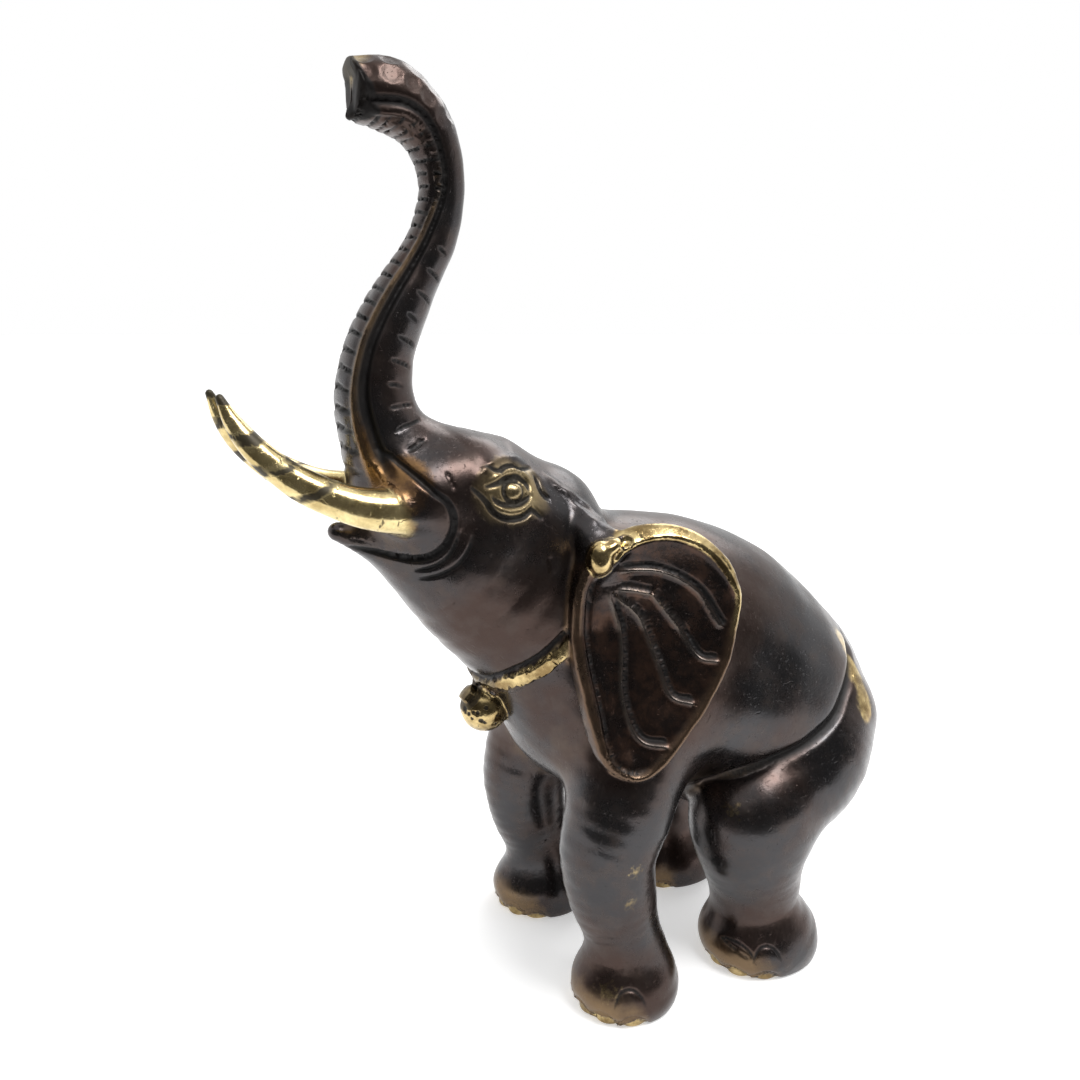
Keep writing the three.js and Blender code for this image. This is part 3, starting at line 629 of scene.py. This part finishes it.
def finishes(p, n):
    """For points and normals in the sculptor's frame: how much of each finish every point has."""
    p = p * [1, 1, 1]
    n = n * [1, 1, 1]
    n[:, 0] *= np.where(p[:, 0] < 0, -1, 1)
    p[:, 0] = np.abs(p[:, 0])
    x, y, z = p.T
    made = {}
    made["tusks"] = smooth(0.45, 0.15, tusk(p)) * smooth(-63.5, -66.5, y + 0.3 * (z - 110))
    bare = smooth(0.5, 0.1, bell(p))
    bare = np.maximum(bare, 0.9 * smooth(0.5, 0.1, np.minimum(knob(p), knob_lobe(p))))
    bare = np.maximum(bare, collar_band(p)[0] * (0.4 + 0.6 * smooth(7, 11, x)))
    nail = np.min([each(p) for each in toenails], axis=0)
    bare = np.maximum(bare, 0.7 * smooth(0.3, 0, nail) * (z < 9))
    front_toe = smooth(-2, -12, y - FRONT_FEET) * (y < FRONT_FEET) + smooth(-3, -13, y - HIND_FEET) * (y > -10)
    made["foot"] = smooth(11, 3, z) * np.clip(front_toe, 0, 1)
    plate, _ = ear(p)
    is_ear = smooth(0.7, 0.3, plate)
    edge = np.full(len(p), 9.0)
    edge[is_ear > 0] = ear_outline(p[is_ear > 0])
    lip = 1.0 + 1.3 * ear_top(p) * smooth(88, 98, z)
    bare = np.maximum(bare, is_ear * ear_top(p) * smooth(-lip - 0.7, -lip - 0.3, edge))
    bare = np.maximum(bare, smooth(2.6, 1.6, rubbed_haunch(p)[0]))
    made["bare"] = bare
    made["ear"] = is_ear * smooth(-0.2, 0.3, n[:, 0])
    made["edge"] = is_ear * smooth(-2.4, -1, edge) * smooth(-0.2, 0.4, n[:, 0])
    made["eye"] = smooth(10, 3.5, length((p - EYE) * [1, 0.8, 1.1]))
    made["scuff"] = np.maximum.reduce([bump(length(p - at), width) for at, width in SCUFFS])
    band = np.zeros(len(p))
    near = trunk_path.away(p) < 2
    q = p[near]
    s, r, v = along_trunk(q)
    around, ridge, channel = round_trunk(q[:, 0], s, v)
    band[near] = bump(around - ridge, 0.1) * smooth(14, 24, s) * smooth(TRUNK_LENGTH - 18, TRUNK_LENGTH - 34, s)
    made["ridge"] = band
    lip = np.zeros(len(p))
    lip[near] = smooth(31, 24, s) * smooth(9, 14, s)
    lip[near] *= smooth(ridge - 0.12, ridge, around) * smooth(channel, channel - 0.1, around)
    upper = (z > 102) & (z < 127) & (y < -57)
    made["lip"] = np.maximum(lip * smooth(-58, -61, y), 0.6 * upper * smooth(7.2, 5.2, length(p - UPPER_LIP)))
    tip = length(p - [0, -68.5, 189.5])
    made["tip"] = smooth(5.5, 2.5, tip)
    cut = np.zeros(len(p))
    for line in cuts:
        cut = np.maximum(cut, line(p) / 0.45)
    cut = np.maximum(cut, 0.8 * haunch(p) / 1.3)
    cut = np.maximum(cut, bump(length(p - EYE) - 2.15, 0.55))
    cut = np.maximum(cut, 0.8 * bump(nail - 0.55, 0.35) * (z < 8))
    dark = np.zeros(len(p))
    dark[near] = smooth(16, 24, s) * bump(around - channel, 0.16)
    rib = np.abs(((s + 0.15 * np.abs(q[:, 0])) / RIBS) % 1 - 0.5) * RIBS
    dark[near] = np.maximum(dark[near], smooth(18, 24, s) * bump(rib, 0.45) * smooth(ridge, ridge - 0.2, around))
    level = np.clip(0.42 - 0.5 * v / r, 0.05, 0.85) * q[:, 0]
    dark[near] = np.maximum(dark[near], 0.8 * smooth(TRUNK_LENGTH - 1.5, TRUNK_LENGTH - 0.5, s + level))
    cut = np.maximum(cut, dark)
    cut = np.maximum(cut, is_ear * border(edge, p)[0])
    for beside_it in vein_cuts:
        cut = np.maximum(cut, is_ear * bump(beside_it(p), 0.6))
    crest = np.zeros(len(p))
    for line in vein_crests:
        crest = np.maximum(crest, is_ear * bump(line(p), 0.4))
    made["crest"] = crest
    pits = np.max([1 - smooth(0.6 * width, 1.3 * width, length(p - at)) for at, width in bell_pits], axis=0)
    cut = np.maximum(cut, pits)
    made["cut"] = np.clip(cut + collar_band(p)[1], 0, 1)
    made["cavity"] = np.clip(1 - form(p + n * 1.2) / 1.2, 0, 1)
    made["shade"] = np.clip(1 - form(p + n * 5) / 5, 0, 1)
    made["worn"] = np.clip(1 + form(p - n * 0.9) / 0.9, 0, 1)
    return made


casting = sculpt("casting")
masks = finishes(per_vertex(casting.data, "co") / MM - [0, MIDDLE, 0], per_vertex(casting.data, "normal"))
for name, values in masks.items():
    paint(casting.data, name, values)


# ---------------------------------------------------------------- shader maths
class Value:
    """A socket, or a number, that Python's operators join with Math nodes."""

    def __init__(self, nodes, socket):
        self.nodes, self.socket = nodes, socket

    def _math(self, operation, *inputs, clamp=False):
        made = self.nodes.add("ShaderNodeMath", {"operation": operation, "use_clamp": clamp}, dict(enumerate(inputs)))
        return made["Value"]

    def __add__(self, other):
        return self._math("ADD", self, other)

    def __sub__(self, other):
        return self._math("SUBTRACT", self, other)

    def __rsub__(self, other):
        return self._math("SUBTRACT", other, self)

    def __mul__(self, other):
        return self._math("MULTIPLY", self, other)

    def __pow__(self, other):
        return self._math("POWER", self, other)

    def __abs__(self):
        return self._math("ABSOLUTE", self)

    __radd__, __rmul__ = __add__, __mul__

    def clip(self):
        return self._math("ADD", self, 0, clamp=True)

    def ramp(self, start, end):
        """Runs smoothly from 0 at start to 1 at end."""
        made = self.nodes.add("ShaderNodeMapRange", {"interpolation_type": "SMOOTHSTEP"},
                              {"Value": self, "From Min": start, "From Max": end})
        return made["Result"]


class Nodes:
    """The node tree of one material, or of the world."""

    def __init__(self, owner):
        owner.use_nodes = True
        self.owner, self.tree = owner, owner.node_tree
        self.tree.nodes.clear()

    def add(self, kind, settings=None, inputs=None):
        """A node of this kind: its settings first, then its sockets' values or links. Returns its outputs by name."""
        node = self.tree.nodes.new(kind)
        for key, setting in (settings or {}).items():
            if key == "stops":
                ramp = node.color_ramp
                while len(ramp.elements) < len(setting):
                    ramp.elements.new(0.5)
                for element, (place, colour) in zip(ramp.elements, setting):
                    element.position, element.color = place, colour
            else:
                setattr(node, key, setting)
        for key, given in (inputs or {}).items():
            socket = node.inputs[key]
            if isinstance(given, Value):
                self.tree.links.new(given.socket, socket)
            else:
                socket.default_value = given
        self.node = node
        return {name: Value(self, s) for name, s in ((s.name, s) for s in reversed(node.outputs))}

    def attribute(self, name):
        return self.add("ShaderNodeAttribute", {"attribute_name": name})["Fac"]

    def noise(self, at, scale, detail=3.0, roughness=0.5, distortion=0.0):
        return self.add("ShaderNodeTexNoise", {}, {"Vector": at, "Scale": scale, "Detail": detail,
                        "Roughness": roughness, "Distortion": distortion})["Fac"]

    def stretch(self, at, scale, turn=(0, 0, 0)):
        return self.add("ShaderNodeMapping", {}, {"Vector": at, "Scale": scale, "Rotation": turn})["Vector"]

    def mix(self, share, first, second):
        """Two colours, by the share of the second."""
        made = self.add("ShaderNodeMix", {"data_type": "RGBA"}, {0: share, 6: first, 7: second})
        return Value(self, self.node.outputs[2])


def bronze():
    n = Nodes(bpy.data.materials.new("bronze"))
    at = n.add("ShaderNodeTexCoord")["Object"]
    cut, cavity, shade, worn = (n.attribute(name) for name in ("cut", "cavity", "shade", "worn"))
    cloud = n.noise(at, 38, 4, 0.55)
    mottle = n.noise(at, 210, 6, 0.65)
    fine = n.noise(at, 900, 5, 0.6)
    speck = n.noise(at, 1500, 3, 0.6)

    patina = n.mix(cloud.ramp(0.38, 0.62), (0.055, 0.053, 0.055, 1), (0.062, 0.042, 0.036, 1))
    patina = n.mix(mottle.ramp(0.42, 0.72) * 0.5, patina, (0.085, 0.066, 0.058, 1))
    patina = n.mix((shade - 0.35).clip() * 0.5, patina, (0.022, 0.018, 0.017, 1))
    ear_side = n.mix(mottle.ramp(0.4, 0.65), (0.028, 0.021, 0.019, 1), (0.085, 0.045, 0.030, 1))
    patina = n.mix(n.attribute("ear") * 0.75, patina, ear_side)
    patina = n.mix((n.attribute("crest") * 0.8).clip(), patina, (0.12, 0.105, 0.095, 1))
    rubbed = ((worn - 0.12) * 1.8).clip()
    patina = n.mix(rubbed * (0.25 + mottle.ramp(0.4, 0.65) * 0.5), patina, (0.17, 0.115, 0.068, 1))

    gold = n.mix(mottle.ramp(0.35, 0.65), (0.22, 0.15, 0.065, 1), (0.66, 0.51, 0.25, 1))
    amber = n.mix(mottle.ramp(0.3, 0.7), (0.12, 0.06, 0.025, 1), (0.30, 0.165, 0.06, 1))
    pale = n.mix(mottle.ramp(0.3, 0.7), (0.45, 0.34, 0.15, 1), (0.84, 0.69, 0.36, 1))
    grime = (cavity * 2.2 - 0.8).clip()
    lines = (cut * 2.2 - 0.4).clip()

    eye = n.attribute("eye")
    golden = (eye * 1.35 - 0.35 + (mottle - 0.5) * 1.3).clip()
    colour = n.mix(golden * 0.7, patina, (0.38, 0.29, 0.15, 1))
    colour = n.mix((n.attribute("lip") * 1.2 - (1 - mottle.ramp(0.25, 0.6)) * 0.5).clip(), colour, amber)
    colour = n.mix((n.attribute("edge") * (0.5 + mottle)).clip() * 0.6, colour, (0.17, 0.11, 0.07, 1))
    colour = n.mix(n.attribute("ridge") * (0.35 + mottle.ramp(0.3, 0.6) * 0.5), colour, (0.23, 0.155, 0.09, 1))
    bare = n.attribute("bare") + n.attribute("tip") * 0.9
    tan = (n.attribute("foot") * 1.6 - 0.3 + (mottle - 0.5) * 1.6).clip() * 0.75
    colour = n.mix(tan, colour, (0.20, 0.135, 0.075, 1))
    bare = bare + (n.attribute("scuff") * 1.2 - 0.9 + (fine - 0.5) * 2.6).clip() * 0.5
    bare = (bare * 1.25 - mottle.ramp(0.56, 0.72) * 0.35 - grime * 0.9).clip()
    colour = n.mix(bare, colour, gold)
    tusks = n.attribute("tusks")
    colour = n.mix((tusks * 1.2 - grime * 0.5).clip(), colour, pale)
    nicks = n.noise(n.stretch(at, (1, 1.6, 0.5)), 420, 2, 0.5).ramp(0.69, 0.73)
    colour = n.mix(nicks * (bare + tusks).clip() * 0.8, colour, (0.05, 0.035, 0.02, 1))
    colour = n.mix((grime * 0.5 + lines).clip() * 0.92, colour, (0.006, 0.005, 0.005, 1))

    rough = 0.28 + (cloud - 0.5) * 0.25 + (mottle - 0.5) * 0.2
    rough = rough + (grime + lines).clip() * 0.3 - (tusks + bare).clip() * 0.1
    surface = (fine * 0.5 + mottle) * 0.5 + speck.ramp(0.64, 0.72) * -0.4 - nicks * 0.7 * (bare + tusks).clip()
    scratch = n.noise(n.stretch(at, (6, 1, 1), (0.4, 0.9, 0.3)), 330, 2, 0.4).ramp(0.68, 0.72)
    surface = surface - scratch * 0.25
    normal = n.add("ShaderNodeBump", {}, {"Strength": 0.3, "Distance": 0.0004, "Height": surface})["Normal"]
    metal = (0.93 - lines * 0.5 + bare * 0.07).clip()
    shader = n.add("ShaderNodeBsdfPrincipled", {}, {"Base Color": colour, "Metallic": metal, "Roughness": rough.clip(),
                   "Normal": normal, "Specular IOR Level": 0.5})["BSDF"]
    n.add("ShaderNodeOutputMaterial", {}, {"Surface": shader})
    return n.owner


def plain(name, colour, roughness, glow):
    n = Nodes(bpy.data.materials.new(name))
    shader = n.add("ShaderNodeBsdfPrincipled", {}, {"Base Color": colour, "Roughness": roughness,
                   "Emission Color": (1, 1, 1, 1), "Emission Strength": glow})["BSDF"]
    n.add("ShaderNodeOutputMaterial", {}, {"Surface": shader})
    return n.owner


casting.data.materials.clear()
casting.data.materials.append(bronze())
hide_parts("elephant")
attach(casting, "root")

# ---------------------------------------------------------------- floor, light and camera
TO_CAMERA = Vector((0.9018, -0.4321, 0))  # level, from the figurine to the camera
TO_RIGHT = Vector((0.4321, 0.9018, 0))
APRON = 0.16  # how far the floor's sheet runs on in front of the figurine

floor_mesh = bpy.data.meshes.new("floor")
sheet = bmesh.new()
bmesh.ops.create_grid(sheet, x_segments=1, y_segments=1, size=4)
turned = Matrix.Rotation(math.atan2(TO_CAMERA.y, TO_CAMERA.x), 4, "Z") @ Matrix.Translation((APRON - 4, 0, 0))
bmesh.ops.transform(sheet, matrix=turned, verts=sheet.verts)
sheet.to_mesh(floor_mesh)
sheet.free()
floor = bpy.data.objects.new("floor", floor_mesh)
bpy.context.scene.collection.objects.link(floor)
floor_mesh.materials.append(plain("floor", (0.9, 0.9, 0.9, 1), 0.8, 0.45))


def studio():
    """A white studio that is dim on the camera's side, where its unlit room is."""
    n = Nodes(bpy.data.worlds.new("studio"))
    way = n.add("ShaderNodeTexCoord")["Generated"]
    towards = n.add("ShaderNodeVectorMath", {"operation": "DOT_PRODUCT"}, {0: way, 1: TO_CAMERA})["Value"]
    up = n.add("ShaderNodeVectorMath", {"operation": "DOT_PRODUCT"}, {0: way, 1: (0, 0, 1)})["Value"]
    dim = towards.ramp(-0.15, 0.3) * (1 - up.ramp(0.55, 0.85))
    seen = n.add("ShaderNodeLightPath")["Is Camera Ray"]
    strength = (1.0 - dim * 0.9 * (1 - seen)) * 1.0
    light = n.add("ShaderNodeBackground", {}, {"Color": (1, 1, 1, 1), "Strength": strength})["Background"]
    n.add("ShaderNodeOutputWorld", {}, {"Surface": light})
    return n.owner


bpy.context.scene.world = studio()
bpy.context.scene.view_settings.view_transform = "Standard"


def softbox(name, at, towards, size, power):
    data = bpy.data.lights.new(name, "AREA")
    data.shape, data.size, data.size_y, data.energy = "RECTANGLE", size[0], size[1], power
    light = bpy.data.objects.new(name, data)
    light.location = at
    light.rotation_euler = (Vector(towards) - Vector(at)).to_track_quat("-Z", "Y").to_euler()
    bpy.context.scene.collection.objects.link(light)


MID = Vector((0, 0, 0.09))


def from_middle(turn, height, distance):
    """A place this many degrees right of the camera and this high over the middle of the figurine."""
    a, e = math.radians(turn), math.radians(height)
    level = TO_CAMERA * math.cos(a) + TO_RIGHT * math.sin(a)
    return MID + (level * math.cos(e) + Vector((0, 0, math.sin(e)))) * distance


softbox("key", from_middle(48, 58, 0.9), MID, (0.42, 0.3), 5.5)
softbox("fill", from_middle(150, 40, 1.1), MID, (0.7, 0.5), 3.5)

camera = bpy.data.objects.new("camera", bpy.data.cameras.new("camera"))
camera.data.lens, camera.data.sensor_width = 33.33, 36
camera.data.clip_start, camera.data.clip_end = 0.01, 20
camera.location = (0.18676, -0.10348, 0.14509)
camera.rotation_euler = (Vector((0, -0.014, 0.0988)) - camera.location).to_track_quat("-Z", "Y").to_euler()
bpy.context.scene.collection.objects.link(camera)
bpy.context.scene.camera = camera
